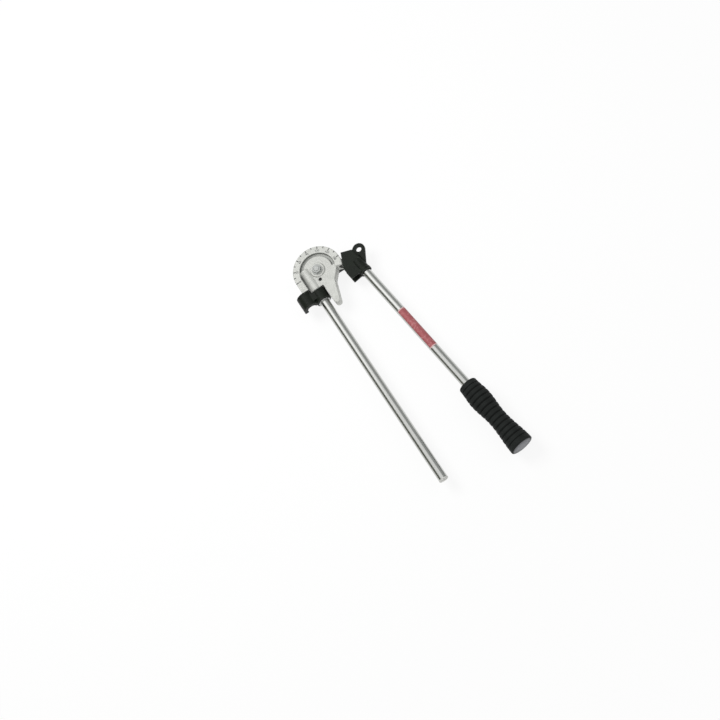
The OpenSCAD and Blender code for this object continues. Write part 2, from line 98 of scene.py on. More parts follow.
class BenderSizes(bpy.types.PropertyGroup):
    """Sizes that shape the pieces"""

    lever_open: FloatProperty(
        name="Lever opening", description="Angle between the two handles at rest",
        default=math.radians(6.4), subtype="ANGLE")
    lever_offset: FloatProperty(
        name="Lever offset", description="Distance from the pivot to the lever handle's axis",
        default=52.4 * MM, unit="LENGTH")
    tube_r: FloatProperty(
        name="Tube radius", description="Outside radius of both handle tubes",
        default=7.0 * MM, unit="LENGTH")
    tube_wall: FloatProperty(
        name="Tube wall", description="Wall of both handle tubes", default=2.0 * MM, unit="LENGTH")
    rim_r: FloatProperty(
        name="Rim radius", description="Outside radius of the graduated rim",
        default=37.9 * MM, unit="LENGTH")
    rim_half: FloatProperty(
        name="Rim half thickness", description="Height of the graduated face above the tube's middle",
        default=9.0 * MM, unit="LENGTH")
    mark_step: IntProperty(
        name="Mark step", description="Degrees between neighbouring marks", default=15)
    mark_w: FloatProperty(
        name="Mark width", description="Width of a mark on the rim", default=1.2 * MM, unit="LENGTH")
    numeral_h: FloatProperty(
        name="Numeral height", description="Height of the numbers beside the long marks",
        default=3.4 * MM, unit="LENGTH")
    label_wrap: FloatProperty(
        name="Label wrap", description="Angle that the label covers around the lever handle",
        default=math.radians(110), subtype="ANGLE")
    label_turn: FloatProperty(
        name="Label turn",
        description="Angle from the top of the lever handle to the middle of the label",
        default=math.radians(10), subtype="ANGLE")
    rib_count: IntProperty(
        name="Ribs", description="Number of raised ribs on the grip", default=13)
    rib_h: FloatProperty(
        name="Rib height", description="Depth of the valleys between the ribs",
        default=0.75 * MM, unit="LENGTH")


class BenderFinish(bpy.types.PropertyGroup):
    """Colours of the finishes"""

    casting: FloatVectorProperty(
        name="Casting", description="Blasted silver casting", size=4, subtype="COLOR",
        default=linear("#cbccc7"))
    black: FloatVectorProperty(
        name="Black", description="Satin black of the latch and the lever head", size=4,
        subtype="COLOR", default=linear("#0e120d"))
    plating: FloatVectorProperty(
        name="Plating", description="Bright plating of the handle tubes", size=4, subtype="COLOR",
        default=linear("#cccdca"))
    label: FloatVectorProperty(
        name="Label", description="Red film of the label", size=4, subtype="COLOR",
        default=linear("#9b5356"))
    # Colour of the rib crests, which carry a painted sheen; the valleys take a painted shade of it
    rubber: FloatVectorProperty(
        name="Rubber", description="Black rubber of the grip", size=4, subtype="COLOR",
        default=linear("#222423"))
    cap: FloatVectorProperty(
        name="End cap", description="Grey plastic disc in the end of the grip", size=4,
        subtype="COLOR", default=linear("#7f8084"))


def sizes():
    return bpy.context.scene.bender_sizes


def colours():
    return bpy.context.scene.bender_finish


def along_handle():
    """Frame whose +Z runs along the fixed handle, counted from the pivot."""
    return Matrix.Translation((HANDLE_X, 0, MIDDLE)) @ Matrix.Rotation(TURN / 4, 4, "X")


def lever_turn():
    """Turn of the lever at rest."""
    return Matrix.Rotation(sizes().lever_open, 4, "Z")


def along_lever():
    """Frame whose +Z runs along the lever handle, counted from the pivot."""
    place = Matrix.Translation((sizes().lever_offset, 0, MIDDLE))
    return lever_turn() @ place @ Matrix.Rotation(TURN / 4, 4, "X")


def span(node, place):
    """Lowest and highest coordinate of a node along +Z of a frame."""
    back = place.inverted()
    heights = [(back @ v.co).z for v in NODES[node].data.vertices]
    return min(heights), max(heights)


def rounded(corners, closed=True, steps=4):
    """Outline of (x, y) points: each corner (x, y, radius) becomes a smooth curve."""
    points = []
    last = len(corners) - 1
    # A curve takes less than half of a side, which leaves room for the next one
    most = 0.48
    for i, (x, y, radius) in enumerate(corners):
        here = Vector((x, y))
        if radius <= 0 or (not closed and i in (0, last)):
            points.append(here)
            continue
        before = Vector(corners[i - 1][:2]) - here
        after = Vector(corners[(i + 1) % len(corners)][:2]) - here
        reach = radius / math.tan(before.angle(after) / 2)
        reach = min(reach, before.length * most, after.length * most)
        start = here + before.normalized() * reach
        end = here + after.normalized() * reach
        for k in range(steps + 1):
            t = k / steps
            points.append(start * (1 - t) ** 2 + here * (2 * t * (1 - t)) + end * t ** 2)
    return [(p.x, p.y) for p in points]


def turned(profile, closed=False, sweep=TURN, start=0.0, steps=STEPS):
    """Solid turned about +Z. A profile holds (along, radius) points, or functions of the angle
    that give such a point; a closed profile makes a ring, and a short sweep leaves a gap."""
    bm = bmesh.new()
    whole = sweep >= TURN
    angles = [start + sweep * i / steps for i in range(steps if whole else steps + 1)]
    rings = []
    for station in profile:
        ring = []
        for angle in angles:
            height, radius = station(angle) if callable(station) else station
            if radius <= 0 and ring:
                ring.append(ring[0])
                continue
            ring.append(bm.verts.new((radius * math.cos(angle), radius * math.sin(angle), height)))
        rings.append(ring)
    pairs = list(zip(rings, rings[1:]))
    if closed:
        pairs.append((rings[-1], rings[0]))
    for low, high in pairs:
        for i in range(steps):
            j = (i + 1) % len(angles)
            corners = list(dict.fromkeys((low[i], low[j], high[j], high[i])))
            if len(corners) > 2:
                bm.faces.new(corners)
    if not whole:
        for end in (0, -1):
            bm.faces.new([ring[end] for ring in rings])
    bmesh.ops.recalc_face_normals(bm, faces=bm.faces)
    return bm


def ring_profile(low, high, inner, outer, radius):
    """Closed profile of a ring with rounded corners."""
    corners = [(low, inner, radius), (high, inner, radius), (high, outer, radius), (low, outer, radius)]
    return rounded(corners)


def to_mesh(bm, name, place=None):
    """Mesh of a bmesh, moved to its place and shaded smooth between crisp edges."""
    if place is not None:
        bm.transform(place)
    mesh = bpy.data.meshes.new(name)
    bm.to_mesh(mesh)
    bm.free()
    mesh.shade_smooth()
    mesh.set_sharp_from_angle(angle=CRISP)
    return mesh


def piece(name, mesh, material, body, slot, *nodes):
    """Adds an object that rides on a body and stands for its nodes; the slot argument is not used."""
    obj = bpy.data.objects.new(name, mesh)
    bpy.context.scene.collection.objects.link(obj)
    mesh.materials.clear()
    mesh.materials.append(material)
    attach(obj, body)
    if nodes:
        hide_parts(*nodes)


def node_bmesh(node):
    """Copy of a node's solid with its triangles welded together."""
    bm = bmesh.new()
    bm.from_mesh(NODES[node].data)
    bmesh.ops.remove_doubles(bm, verts=bm.verts, dist=0.002 * MM)
    return bm


def softened(node, name, width):
    """Copy of a machined node with its sharp edges broken by a small round."""
    flat, sharp = math.radians(1), math.radians(40)
    bm = node_bmesh(node)
    bmesh.ops.dissolve_limit(
        bm, angle_limit=flat, use_dissolve_boundaries=False, verts=bm.verts, edges=bm.edges)
    edges = [e for e in bm.edges if e.is_manifold and e.calc_face_angle() > sharp]
    bmesh.ops.bevel(
        bm, geom=edges, offset=width, segments=3, profile=0.5, affect="EDGES", clamp_overlap=True)
    return to_mesh(bm, name)


def cast_copy(node, name, grain, passes, keep, turn=None, fill=None):
    """Copy of a cast node with the soft edges and filled corners that a mould leaves: the solid is
    remade from small cells, smoothed, and thinned out again where it is flat."""
    bm = node_bmesh(node)
    if fill is not None:
        spare = bpy.data.meshes.new("fill")
        fill.to_mesh(spare)
        fill.free()
        bm.from_mesh(spare)
        bpy.data.meshes.remove(spare)
    if turn is not None:
        bm.transform(turn.inverted())
    rough = bpy.data.meshes.new(name + "_rough")
    bm.to_mesh(rough)
    bm.free()
    obj = bpy.data.objects.new(name + "_rough", rough)
    bpy.context.scene.collection.objects.link(obj)
    cells = obj.modifiers.new("cells", "REMESH")
    cells.mode = "VOXEL"
    cells.voxel_size = grain
    ease = obj.modifiers.new("ease", "SMOOTH")
    ease.factor = 0.5
    ease.iterations = passes
    thin = obj.modifiers.new("thin", "DECIMATE")
    thin.ratio = keep
    done = obj.evaluated_get(bpy.context.evaluated_depsgraph_get())
    mesh = bpy.data.meshes.new_from_object(done)
    mesh.name = name
    bpy.data.objects.remove(obj)
    bpy.data.meshes.remove(rough)
    if turn is not None:
        mesh.transform(turn)
    mesh.shade_smooth()
    return mesh


def dome(count):
    """Even directions over the half sphere about +Z."""
    golden = math.pi * (3 - math.sqrt(5))
    rays = []
    for i in range(count):
        z = math.sqrt((i + 0.5) / count)
        flat = math.sqrt(1 - z * z)
        rays.append(Vector((flat * math.cos(golden * i), flat * math.sin(golden * i), z)))
    return rays


def paint_wear(mesh, reach, rays=20):
    """Stores how hollow and how much of an edge each vertex is: the hollows take painted shade and the
    edges take wear in the finish.
    """
    tree = BVHTree.FromPolygons([v.co for v in mesh.vertices], [p.vertices for p in mesh.polygons])
    directions = dome(rays)
    # Rays start a little off the surface, and a slight bend already counts as an edge
    lift, gain = reach * 0.02, 3.0
    hollow = []
    for vertex in mesh.vertices:
        turn = vertex.normal.to_track_quat("Z", "Y")
        start = vertex.co + vertex.normal * lift
        hits = sum(tree.ray_cast(start, turn @ d, reach)[0] is not None for d in directions)
        hollow.append(hits / rays)
    bend = [0.0] * len(mesh.vertices)
    count = [0] * len(mesh.vertices)
    for edge in mesh.edges:
        for a, b in (edge.vertices, reversed(edge.vertices)):
            step = mesh.vertices[b].co - mesh.vertices[a].co
            bend[a] -= step.normalized().dot(mesh.vertices[a].normal)
            count[a] += 1
    edge = [min(1.0, max(0.0, gain * b / max(1, n))) for b, n in zip(bend, count)]
    for name, values in (("hollow", hollow), ("edge", edge)):
        mesh.attributes.new(name, "FLOAT", "POINT").data.foreach_set("value", values)


def add(tree, kind, inputs=None, **settings):
    """Adds a node with its settings; an input is a value or the socket that feeds it."""
    node = tree.nodes.new(kind)
    for key, value in settings.items():
        setattr(node, key, value)
    for key, value in (inputs or {}).items():
        if isinstance(value, bpy.types.NodeSocket):
            tree.links.new(value, node.inputs[key])
        else:
            node.inputs[key].default_value = value
    return node


# Sockets of the colour mix node
FACTOR, FIRST, SECOND, MIXED = 0, 6, 7, 2


def start_material(name):
    """Empty material and its node tree."""
    material = bpy.data.materials.new(name)
    material.use_nodes = True
    material.node_tree.nodes.clear()
    return material, material.node_tree


def on_piece(tree):
    """Place on the piece, in metres."""
    return add(tree, "ShaderNodeTexCoord").outputs["Object"]


def stored(tree, name):
    """Value that the mesh stores under a name."""
    return add(tree, "ShaderNodeAttribute", attribute_name=name).outputs["Fac"]


def noise(tree, place, width, detail):
    """Cloudy noise with patches of about a width."""
    node = add(tree, "ShaderNodeTexNoise", {"Vector": place, "Scale": 1 / width, "Detail": detail})
    return node.outputs["Fac"]


def blend(tree, factor, first, second):
    """Colour that goes from the first to the second with the factor."""
    node = add(tree, "ShaderNodeMix", {FACTOR: factor, FIRST: first, SECOND: second}, data_type="RGBA")
    return node.outputs[MIXED]


def ramp(tree, value, low, high, start=0.0, end=1.0):
    """Goes from low to high while the value goes from start to end."""
    node = add(tree, "ShaderNodeMapRange", {
        "Value": value, "From Min": start, "From Max": end, "To Min": low, "To Max": high})
    return node.outputs["Result"]


def calculate(tree, operation, first, second):
    """Sum, product or another operation of two values."""
    return add(tree, "ShaderNodeMath", {0: first, 1: second}, operation=operation).outputs[0]


def relief(tree, height, strength, depth):
    """Normal of a surface with fine relief."""
    node = add(tree, "ShaderNodeBump", {"Height": height, "Strength": strength, "Distance": depth})
    return node.outputs["Normal"]


def surface(tree, inputs):
    """Ends a material with its shader."""
    shader = add(tree, "ShaderNodeBsdfPrincipled", inputs)
    add(tree, "ShaderNodeOutputMaterial", {"Surface": shader.outputs["BSDF"]})


def shade(colour, amount):
    """A colour made lighter or darker."""
    return (*[min(1.0, c * amount) for c in colour[:3]], 1.0)


def blasted_casting():
    """Aluminium alloy, die cast and bead blasted: an even pale grey with a fine matte grain, darkened in
    its hollows by painted shade, and brighter where edges have been rubbed."""
    material, tree = start_material("aluminium_die_casting_blasted")
    base = tuple(colours().casting)
    place = on_piece(tree)
    # Cloudy patches about 9 mm wide, as uneven blasting leaves
    patches = noise(tree, place, 9 * MM, 4.0)
    # Blast grain: the real 0.2 mm would not show, so it is drawn at 0.7 mm
    grain = noise(tree, place, 0.7 * MM, 2.0)
    mottled = blend(tree, patches, shade(base, 0.74), shade(base, 1.22))
    # Painted shade: where the stored occlusion finds a hollow, the colour darkens towards a dark
    # grey-green
    depth = ramp(tree, stored(tree, "hollow"), 0.0, 0.85, start=0.12, end=0.75)
    shaded_hollows = blend(tree, depth, mottled, linear("#4e524f"))
    bare = ramp(tree, stored(tree, "edge"), 0.0, 0.8, start=0.3, end=0.9)
    surface(tree, {
        "Base Color": blend(tree, bare, shaded_hollows, linear("#f0f1ee")),
        "Metallic": 0.6,
        "Roughness": ramp(tree, patches, 0.44, 0.58),
        "Normal": relief(tree, grain, 0.25, 0.12 * MM)})
    return material


def satin_black(name):
    """Cast iron or steel in baked satin black paint: a deep grey-green black with a soft sheen,
    a faint orange peel and thin grey wear along its edges."""
    material, tree = start_material(name)
    base = tuple(colours().black)
    place = on_piece(tree)
    # Orange peel of the paint, about 1.4 mm across
    peel = noise(tree, place, 1.4 * MM, 3.0)
    # Thicker and thinner paint, in clouds about 7 mm wide
    clouds = noise(tree, place, 7 * MM, 3.0)
    paint = blend(tree, clouds, shade(base, 0.2), shade(base, 2.6))
    thin = ramp(tree, stored(tree, "edge"), 0.0, 2.0, start=0.25, end=0.75)
    worn = calculate(tree, "MULTIPLY", thin, clouds)
    surface(tree, {
        "Base Color": blend(tree, worn, paint, linear("#6a6e68")),
        "Roughness": ramp(tree, clouds, 0.3, 0.6),
        "Specular IOR Level": 0.22,
        "Normal": relief(tree, peel, 0.3, 0.2 * MM)})
    return material


def plated_tube(name, turn):
    """Drawn steel tube in bright nickel plating: a clear mirror that long draw lines blur a little
    across the tube."""
    material, tree = start_material(name)
    base = tuple(colours().plating)
    place = on_piece(tree)
    # Draw lines run along the tube: about 0.9 mm apart, drawn coarser than the real 0.1 mm to show
    apart, length = 0.9 * MM, 60 * MM
    lines = add(tree, "ShaderNodeMapping", {
        "Vector": place, "Rotation": (0, 0, -turn), "Scale": (1 / apart, 1 / length, 1 / apart)})
    streaks = noise(tree, lines.outputs["Vector"], 1.0, 2.0)
    # Handling marks, in patches about 25 mm long
    smears = noise(tree, place, 25 * MM, 4.0)
    surface(tree, {
        "Base Color": blend(tree, streaks, shade(base, 0.9), shade(base, 1.06)),
        "Metallic": 1.0,
        "Roughness": ramp(tree, smears, 0.17, 0.3),
        "Normal": relief(tree, streaks, 0.05, 0.05 * MM)})
    return material


def bright_zinc(name):
    """Turned steel in clear zinc plate: a cool grey with a faint milky bloom."""
    material, tree = start_material(name)
    # Bloom of the passivation, about 3 mm across
    bloom = noise(tree, on_piece(tree), 3 * MM, 3.0)
    surface(tree, {
        "Base Color": blend(tree, bloom, linear("#b8bab8"), linear("#c8cac7")),
        "Metallic": 1.0,
        "Roughness": ramp(tree, bloom, 0.42, 0.52)})
    return material


def black_oxide(name):
    """Alloy steel screw in black oxide and oil: nearly black, with a dull metal gleam."""
    material, tree = start_material(name)
    # Oil bloom, about 2 mm across
    bloom = noise(tree, on_piece(tree), 2 * MM, 3.0)
    surface(tree, {
        "Base Color": blend(tree, bloom, linear("#202122"), linear("#38393a")),
        "Metallic": 0.9,
        "Roughness": ramp(tree, bloom, 0.34, 0.48)})
    return material


def bearing_bronze():
    """Sintered bearing bronze, turned: a warm dull gold with fine pores."""
    material, tree = start_material("bronze_sintered")
    # Pores, drawn at 0.4 mm
    pores = noise(tree, on_piece(tree), 0.4 * MM, 2.0)
    surface(tree, {
        "Base Color": blend(tree, pores, linear("#7a5a32"), linear("#b48a52")),
        "Metallic": 1.0,
        "Roughness": 0.42})
    return material


def ribbed_rubber():
    """Nitrile rubber, moulded: a soft near-black with little shine and a fine mould texture, with a
    painted sheen lightening the crests of its ribs and painted shade darkening the valleys between them."""
    material, tree = start_material("nitrile_rubber_moulded")
    base = tuple(colours().rubber)
    place = on_piece(tree)
    # Spark-eroded mould texture, drawn at 0.8 mm
    pits = noise(tree, place, 0.8 * MM, 2.0)
    # Scuffs, in patches about 12 mm wide
    scuffs = noise(tree, place, 12 * MM, 5.0)
    tone = blend(tree, scuffs, shade(base, 0.75), shade(base, 1.35))
    surface(tree, {
        # Painted light: crests take the lighter colour as a painted sheen, and valleys a painted shade at
        # 0.3 of it
        "Base Color": blend(tree, stored(tree, "crest"), shade(base, 0.3), tone),
        "Roughness": ramp(tree, scuffs, 0.46, 0.66),
        "Specular IOR Level": 0.06,
        "Normal": relief(tree, pits, 0.3, 0.12 * MM)})
    return material


def label_film():
    """Printed vinyl film: a dull satin red, rubbed paler in places, with a pale unprinted band at
    each end."""
    material, tree = start_material("vinyl_film_printed")
    base = tuple(colours().label)
    place = on_piece(tree)
    # Rubbed patches, about 6 mm across
    rubs = noise(tree, place, 6 * MM, 5.0)
    ink = blend(tree, rubs, shade(base, 0.82), shade(base, 1.25))
    # Worn-through specks, about 3 mm across
    specks = noise(tree, place, 3 * MM, 2.0)
    bare = ramp(tree, specks, 0.0, 0.35, start=0.5, end=0.8)
    worn = blend(tree, bare, ink, linear("#d3a9a8"))
    surface(tree, {
        "Base Color": blend(tree, stored(tree, "border"), worn, linear("#c8a8a7")),
        "Roughness": ramp(tree, rubs, 0.32, 0.5)})
    return material


def moulded_plastic(name, base):
    """Polyethylene or polypropylene, moulded matte: an even soft colour with a faint sheen and a fine
    texture."""
    material, tree = start_material(name)
    place = on_piece(tree)
    # Mould texture, drawn at 0.9 mm
    texture = noise(tree, place, 0.9 * MM, 2.0)
    # Haze, in patches about 8 mm wide
    haze = noise(tree, place, 8 * MM, 3.0)
    tone = blend(tree, haze, shade(base, 0.88), shade(base, 1.1))
    # Painted shade darkening the rim that the piece stores as its border
    shaded_rim = blend(tree, stored(tree, "border"), tone, shade(base, 0.6))
    surface(tree, {
        "Base Color": shaded_rim,
        "Roughness": ramp(tree, haze, 0.42, 0.58),
        "Normal": relief(tree, texture, 0.2, 0.08 * MM)})
    return material


def filled_paint():
    """Enamel wiped into the marks: a soft black that thins out in spots."""
    material, tree = start_material("enamel_wiped_in")
    # Thin spots, about 1.5 mm across
    thin = noise(tree, on_piece(tree), 1.5 * MM, 3.0)
    surface(tree, {
        "Base Color": blend(tree, thin, linear("#1c1d1d"), linear("#4a4c4b")),
        "Roughness": 0.5})
    return material


def shared(name, make):
    """A finish of several pieces, made the first time that one of them asks for it."""
    return bpy.data.materials.get(name) or make(name)


def zinc():
    return shared("steel_zinc_plated", bright_zinc)


def oxide():
    return shared("steel_black_oxide", black_oxide)


def black_paint():
    return shared("cast_iron_satin_black", satin_black)


class OBJECT_OT_bender_former(bpy.types.Operator):
    """Silver casting with the grooved rim, hub, handle socket and vise lug"""

    bl_idname = "object.bender_former"
    bl_label = "Former"

    def execute(self, context):
        s = sizes()
        # A flat band fills the marks, which are laid in again as paint
        top, depth, width, margin = MIDDLE + s.rim_half, 1.2 * MM, 9.8 * MM, 0.05 * MM
        band = ring_profile(top - depth, top, s.rim_r - width, s.rim_r - margin, radius=0)
        fill = turned(band, closed=True, sweep=math.radians(196), start=math.radians(-14))
        mesh = cast_copy("former", "former_casting", grain=0.5 * MM, passes=7, keep=0.4, fill=fill)
        paint_wear(mesh, reach=7 * MM)
        piece("former_casting", mesh, blasted_casting(), "former_body", "cast_former", "former")
        return {"FINISHED"}


class OBJECT_OT_bender_dial(bpy.types.Operator):
    """Painted degree marks and plain numbers on the front of the rim"""

    bl_idname = "object.bender_dial"
    bl_label = "Degree marks"

    def execute(self, context):
        s = sizes()
        proud, thick, margin = 0.03 * MM, 0.3 * MM, 0.3 * MM
        long_mark, short_mark, long_step = 4.6 * MM, 2.8 * MM, 30
        top = MIDDLE + s.rim_half + proud
        numeral_r = s.rim_r - 7.2 * MM
        paint = filled_paint()
        bm = bmesh.new()
        numerals = bmesh.new()
        for bend in range(0, 181, s.mark_step):
            is_long = bend % long_step == 0
            length = long_mark if is_long else short_mark
            turn = Matrix.Rotation(math.radians(180 - bend), 4, "Z")
            middle = Matrix.Translation((s.rim_r - margin - length / 2, 0, top - thick / 2))
            size = Matrix.Diagonal((length, s.mark_w, thick, 1))
            bmesh.ops.create_cube(bm, size=1, matrix=turn @ middle @ size)
            if is_long:
                self.numeral(numerals, str(bend), turn, numeral_r, top)
        mesh = to_mesh(bm, "degree_marks")
        piece("degree_marks", mesh, paint, "former_body", "black_screw")
        mesh = to_mesh(numerals, "degree_numbers")
        piece("degree_numbers", mesh, paint, "former_body", "black_screw")
        return {"FINISHED"}

    def numeral(self, bm, text, turn, radius, top):
        """Adds the outline of one number, read from the side of the handles."""
        # Font size that makes a digit one unit high
        font_share = 1.35
        sunk = 0.07 * MM
        curve = bpy.data.curves.new("numeral", "FONT")
        curve.body = text
        curve.size = sizes().numeral_h * font_share
        curve.align_x = curve.align_y = "CENTER"
        curve.extrude = 0.08 * MM
        curve.offset = 0.05 * MM
        obj = bpy.data.objects.new("numeral", curve)
        bpy.context.scene.collection.objects.link(obj)
        done = obj.evaluated_get(bpy.context.evaluated_depsgraph_get())
        mesh = bpy.data.meshes.new_from_object(done)
        upright = Matrix.Translation((radius, 0, top - sunk)) @ Matrix.Rotation(-TURN / 4, 4, "Z")
        mesh.transform(turn @ upright)
        bm.from_mesh(mesh)
        bpy.data.objects.remove(obj)
        bpy.data.curves.remove(curve)
        bpy.data.meshes.remove(mesh)


class OBJECT_OT_bender_pivot(bpy.types.Operator):
    """Shoulder bolt, thrust washers, washer and thin nut of the pivot"""

    bl_idname = "object.bender_pivot"
    bl_label = "Pivot"

    def execute(self, context):
        self.bolt()
        low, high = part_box("pivot_washer")
        profile = ring_profile(low.z, high.z, THREAD_R + FIT, high.x, radius=0.25 * MM)
        mesh = to_mesh(turned(profile, closed=True), "pivot_washer_ring")
        piece("pivot_washer_ring", mesh, zinc(), "former_body", "zinc_steel", "pivot_washer")
        self.thrust_washers()
        self.nut()
        return {"FINISHED"}

    def bolt(self):
        low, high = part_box("pivot_bolt")
        head_end, shoulder_end = 4.4 * MM, 11.8 * MM
        corners = [
            (low.z, 0, 0), (low.z, high.x, 0.7 * MM),
            (head_end, high.x, 0.5 * MM), (head_end, SHOULDER_R, 0),
            (shoulder_end, SHOULDER_R, 0.2 * MM), (shoulder_end, THREAD_R, 0),
            (high.z, THREAD_R, 0.6 * MM), (high.z, 0, 0)]
        mesh = to_mesh(turned(rounded(corners, closed=False)), "pivot_shoulder_bolt")
        piece("pivot_shoulder_bolt", mesh, zinc(), "former_body", "zinc_steel", "pivot_bolt")

    def thrust_washers(self):
        low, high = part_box("thrust_washers")
        bm = bmesh.new()
        thick = 0.6 * MM
        for start in (low.z, high.z - thick):
            profile = ring_profile(start, start + thick, SHOULDER_R + FIT, high.x, radius=0.1 * MM)
            spare = to_mesh(turned(profile, closed=True), "spare")
            bm.from_mesh(spare)
            bpy.data.meshes.remove(spare)
        mesh = to_mesh(bm, "thrust_washer_pair")
        piece("thrust_washer_pair", mesh, zinc(), "former_body", "zinc_steel", "thrust_washers")

    def nut(self):
        """Hexagon with the coned corners of a turned nut."""
        low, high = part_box("pivot_nut")
        bore, half_flats, lead_in = THREAD_R + FIT, high.y, 0.3 * MM
        face_r = half_flats * 0.97
        slope = math.tan(math.radians(30))

        def hex_r(angle):
            return half_flats / math.cos(angle % (TURN / 6) - TURN / 12)

        def wall(side):
            edge_z = high.z if side > 0 else low.z
            return lambda a: (edge_z - side * (hex_r(a) - face_r) * slope, hex_r(a))

        profile = [
            (low.z, bore + lead_in), (low.z, face_r), wall(-1), wall(1), (high.z, face_r),
            (high.z, bore + lead_in), (high.z - lead_in, bore), (low.z + lead_in, bore)]
        mesh = to_mesh(turned(profile, closed=True), "pivot_hexagon_nut")
        piece("pivot_hexagon_nut", mesh, zinc(), "former_body", "zinc_steel", "pivot_nut")


class OBJECT_OT_bender_handles(bpy.types.Operator):
    """Both plated handle tubes, the end plug and the grub screws"""

    bl_idname = "object.bender_handles"
    bl_label = "Handle tubes"

    def execute(self, context):
        s = sizes()
        inner = s.tube_r - s.tube_wall
        ends = (
            ("fixed_handle", along_handle(), "former_body", 0.0),
            ("lever_handle", along_lever(), "lever", s.lever_open))
        for node, place, body, turn in ends:
            low, high = span(node, place)
            profile = ring_profile(low, high, inner, s.tube_r, radius=0.5 * MM)
            mesh = to_mesh(turned(profile, closed=True), node + "_tube", place)
            plating = plated_tube("steel_tube_nickel_" + body, turn)
            piece(node + "_tube", mesh, plating, body, "plated_tube", node)
        self.plug(inner)
        for node, body in (("fixed_handle_screw", "former_body"), ("lever_handle_screw", "lever")):
            mesh = softened(node, node + "_set", width=0.2 * MM)
            piece(node + "_set", mesh, oxide(), body, "black_screw", node)
        return {"FINISHED"}

    def plug(self, inner):
        place = along_handle()
        low, high = span("fixed_handle_plug", place)
        head, radius, stem = high - 1.5 * MM, sizes().tube_r, inner - FIT
        # A small moulded dimple in the middle
        dimple, dimple_r, slope = high - 0.5 * MM, 1.7 * MM, 0.5 * MM
        corners = [
            (low, 0, 0), (low, stem, 0.8 * MM), (head, stem, 0), (head, radius, 0.15 * MM),
            (high, radius, 0.9 * MM), (high, dimple_r + slope, 0.3 * MM), (dimple, dimple_r, 0.3 * MM),
            (dimple, 0, 0)]
        mesh = to_mesh(turned(rounded(corners, closed=False)), "handle_end_plug", place)
        pale = moulded_plastic("polyethylene_pale", linear("#cfcfca"))
        piece("handle_end_plug", mesh, pale, "former_body", "pale_plug", "fixed_handle_plug")


class OBJECT_OT_bender_latch(bpy.types.Operator):
    """Black hook on its collar, with its washer and snap ring"""

    bl_idname = "object.bender_latch"
    bl_label = "Latch"

    def execute(self, context):
        mesh = cast_copy("latch_hook", "latch_hook_casting", grain=0.42 * MM, passes=6, keep=0.4)
        paint_wear(mesh, reach=5 * MM)
        piece("latch_hook_casting", mesh, black_paint(), "latch", "black_casting", "latch_hook")
        place = along_handle()
        tube_r = sizes().tube_r
        low, high = span("latch_washer", place)
        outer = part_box("latch_washer")[1].x - HANDLE_X
        profile = ring_profile(low, high, tube_r + FIT, outer, radius=0.2 * MM)
        mesh = to_mesh(turned(profile, closed=True), "latch_washer_ring", place)
        piece("latch_washer_ring", mesh, zinc(), "former_body", "zinc_steel", "latch_washer")
        low, high = span("latch_retaining_ring", place)
        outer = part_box("latch_retaining_ring")[1].x - HANDLE_X
        # The snap ring sits in a groove of the tube and opens towards the back
        groove, gap = 0.68 * MM, math.radians(26)
        profile = ring_profile(low, high, tube_r - groove, outer, radius=0.15 * MM)
        open_ring = turned(profile, closed=True, sweep=TURN - gap, start=-TURN / 4 + gap / 2)
        mesh = to_mesh(open_ring, "latch_snap_ring", place)
        piece("latch_snap_ring", mesh, zinc(), "former_body", "zinc_steel", "latch_retaining_ring")
        return {"FINISHED"}


class OBJECT_OT_bender_lever_head(bpy.types.Operator):
    """Black lever head with the tube channel, handle socket and hanging eye"""

    bl_idname = "object.bender_lever_head"
    bl_label = "Lever head"

    def execute(self, context):
        mesh = cast_copy(
            "lever_head", "lever_head_casting", grain=0.45 * MM, passes=6, keep=0.4, turn=lever_turn())
        paint_wear(mesh, reach=6 * MM)
        piece("lever_head_casting", mesh, black_paint(), "lever", "black_casting", "lever_head")
        return {"FINISHED"}


class OBJECT_OT_bender_lever_arm(bpy.types.Operator):
    """Steel arm behind the former, with its bush and screws"""

    bl_idname = "object.bender_lever_arm"
    bl_label = "Lever arm"

    def execute(self, context):
        mesh = softened("lever_arm", "lever_arm_plate", width=0.9 * MM)
        piece("lever_arm_plate", mesh, black_paint(), "lever", "black_casting", "lever_arm")
        low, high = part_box("arm_bush")
        running_fit = 0.03 * MM
        profile = ring_profile(low.z, high.z, SHOULDER_R + running_fit, high.x, radius=0.2 * MM)
        mesh = to_mesh(turned(profile, closed=True), "arm_bush_sleeve")
        piece("arm_bush_sleeve", mesh, bearing_bronze(), "lever", "bronze", "arm_bush")
        mesh = softened("arm_screws", "arm_cap_screws", width=0.35 * MM)
        piece("arm_cap_screws", mesh, oxide(), "lever", "black_screw", "arm_screws")
        return {"FINISHED"}


class OBJECT_OT_bender_label(bpy.types.Operator):
    """Plain red label wrapped part of the way around the lever handle"""

    bl_idname = "object.bender_label"
    bl_label = "Label"

    def execute(self, context):
        place = along_lever()
        low, high = span("label", place)
        film, band = 0.2 * MM, 1.8 * MM
        inner, outer = sizes().tube_r + FIT, sizes().tube_r + film
        cuts = [low, low + band, high - band, high]
        profile = [(cut, outer) for cut in cuts] + [(cut, inner) for cut in reversed(cuts)]
        wrap = sizes().label_wrap
        start = TURN / 4 - sizes().label_turn - wrap / 2
        bm = turned(profile, closed=True, sweep=wrap, start=start)
        heights = [f.calc_center_median().z for f in bm.faces]
        mesh = to_mesh(bm, "label_film", place)
        border = [float(not low + band < z < high - band) for z in heights]
        mesh.attributes.new("border", "FLOAT", "FACE").data.foreach_set("value", border)
        piece("label_film", mesh, label_film(), "lever", "red_label", "label")
        return {"FINISHED"}


